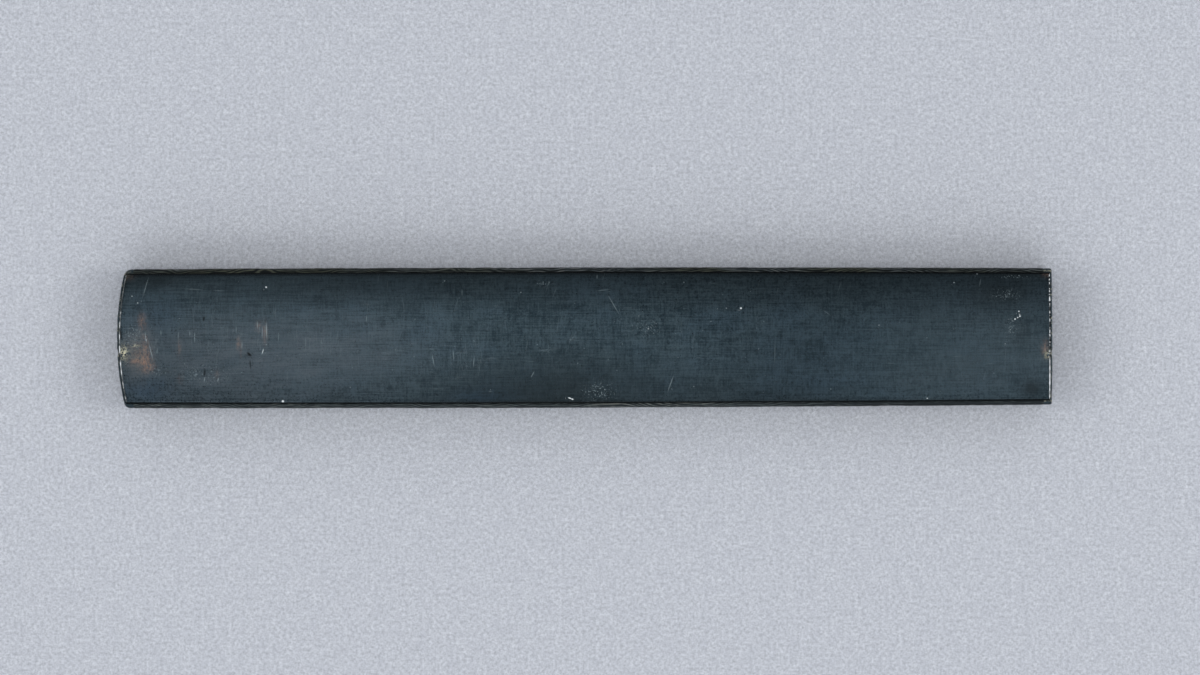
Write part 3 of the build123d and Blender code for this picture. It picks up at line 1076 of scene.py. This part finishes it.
plate(
    "face_plate",
    blue_black,
    PLATE_STEP,
    ACROSS_SEAM,
    plain_surface,
    FACE_EDGE,
)
plate(
    "front_plate",
    grained,
    FRONT_STEP,
    ACROSS_EDGE,
    carved_surface,
    FRONT_THICKNESS,
)
side_wall("near_wall", -1, 11, grained)
side_wall("far_wall", 1, 31, grained)
end_plate("butt_plate", BUTT_X, BUTT_WALL_X, HALF_BUTT, BUTT_ARC, BUTT_CORNER, 41, blue_black)
mouth_plate = end_plate(
    "mouth_plate", MOUTH_X, MOUTH_WALL_X, HALF_MOUTH, MOUTH_ARC, MOUTH_CORNER, 51, blue_black
)
cut_tang_slot(mouth_plate, blue_black)
breaks, dullness = broken_at_butt, dull_at_butt
seam_bead("butt_seam_solder", BUTT_X, BUTT_ARC, 71, breaks, 1.2, dullness, silver)
breaks, dullness = broken_at_mouth, dull_at_mouth
seam_bead("mouth_seam_solder", MOUTH_X, MOUTH_ARC, 81, breaks, 0.4, dullness, silver)

for node in (
    "face_plate_solder",
    "front_plate_solder",
    "butt_near_corner_solder",
    "butt_far_corner_solder",
    "mouth_near_corner_solder",
    "mouth_far_corner_solder",
):
    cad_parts[node].data.materials[0] = silver
for node in ("lower_tang_slip", "upper_tang_slip"):
    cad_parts[node].data.materials[0] = wood

# ---------------------------------------------------------------- floor, light and camera

FLOOR_HALF = 3.0  # metres
CAMERA_X = 1.59
CAMERA_HEIGHT = 419.6
CAMERA_TURN = math.radians(-0.147)

floor_mesh = bpy.data.meshes.new("floor")
floor_mesh.from_pydata(
    [(x * FLOOR_HALF, y * FLOOR_HALF, 0) for x, y in ((-1, -1), (1, -1), (1, 1), (-1, 1))],
    [],
    [(0, 1, 2, 3)],
)
floor_mesh.materials.append(paper_material())
floor = bpy.data.objects.new("floor", floor_mesh)
bpy.context.scene.collection.objects.link(floor)


def soft_light(name, place, size, watts, color):
    """A large flat lamp that faces the handle and that the camera doesn't see; in metres."""
    lamp = bpy.data.lights.new(name, "AREA")
    lamp.shape = "RECTANGLE"
    lamp.size, lamp.size_y = size
    lamp.energy = watts
    lamp.color = color
    light = bpy.data.objects.new(name, lamp)
    light.location = place
    x, y, z = place
    light.rotation_euler = (math.atan2(math.hypot(x, y), z), 0, math.atan2(x, -y))
    light.visible_camera = False
    bpy.context.scene.collection.objects.link(light)


WARM, COOL = (1.0, 0.99, 0.97), (0.98, 0.99, 1.0)
soft_light("left", (-0.75, 0.0, 0.6), (0.3, 0.3), 1.1, WARM)
soft_light("right", (0.75, 0.0, 0.6), (0.3, 0.3), 1.3, WARM)
soft_light("key", (-0.05, -0.7, 1.0), (0.4, 0.4), 0.8, WARM)
soft_light("overhead", (-0.06, -0.022, 0.9), (0.46, 0.07), 0.29, COOL)
soft_light("overhead_right", (0.17, -0.05, 0.9), (0.16, 0.14), 0.15, COOL)

SKY_COLOR = (0.72, 0.737, 0.777, 1)
SKY_LEAN = (-0.02, -0.3, 0.0)  # how much brighter the sky is along each axis
SKY_LOW, SKY_HIGH = (0.74, 1.12), (0.93, 0.08)  # each a direction's z and the strength there


def studio_sky():
    """A sky that is dim straight up and pale lower down, most of all on the near side."""
    world = bpy.data.worlds.new("studio")
    world.use_nodes = True
    nodes, links = world.node_tree.nodes, world.node_tree.links

    def calculate(kind, operation, a, b, output=0):
        node = nodes.new(kind)
        node.operation = operation
        for socket, value in zip(node.inputs, (a, b)):
            if isinstance(value, bpy.types.NodeSocket):
                links.new(value, socket)
            else:
                socket.default_value = value
        return node.outputs[output]

    direction = nodes.new("ShaderNodeTexCoord").outputs["Generated"]
    lean = calculate("ShaderNodeVectorMath", "DOT_PRODUCT", direction, SKY_LEAN, "Value")
    height = nodes.new("ShaderNodeSeparateXYZ")
    links.new(direction, height.inputs[0])
    dimmer = nodes.new("ShaderNodeMapRange")
    links.new(height.outputs["Z"], dimmer.inputs["Value"])
    dimmer.inputs["From Min"].default_value, dimmer.inputs["To Min"].default_value = SKY_LOW
    dimmer.inputs["From Max"].default_value, dimmer.inputs["To Max"].default_value = SKY_HIGH
    total = calculate("ShaderNodeMath", "ADD", lean, 1.0)
    strength = calculate("ShaderNodeMath", "MULTIPLY", dimmer.outputs[0], total)
    links.new(strength, nodes["Background"].inputs["Strength"])
    nodes["Background"].inputs["Color"].default_value = SKY_COLOR
    return world


bpy.context.scene.world = studio_sky()

lens = bpy.data.cameras.new("camera")
lens.lens = 120
lens.sensor_width = 36
camera = bpy.data.objects.new("camera", lens)
camera.location = (CAMERA_X * MM, 0, CAMERA_HEIGHT * MM)
camera.rotation_euler = (0, 0, CAMERA_TURN)
bpy.context.scene.collection.objects.link(camera)
bpy.context.scene.camera = camera
bpy.context.scene.view_settings.view_transform = "Standard"
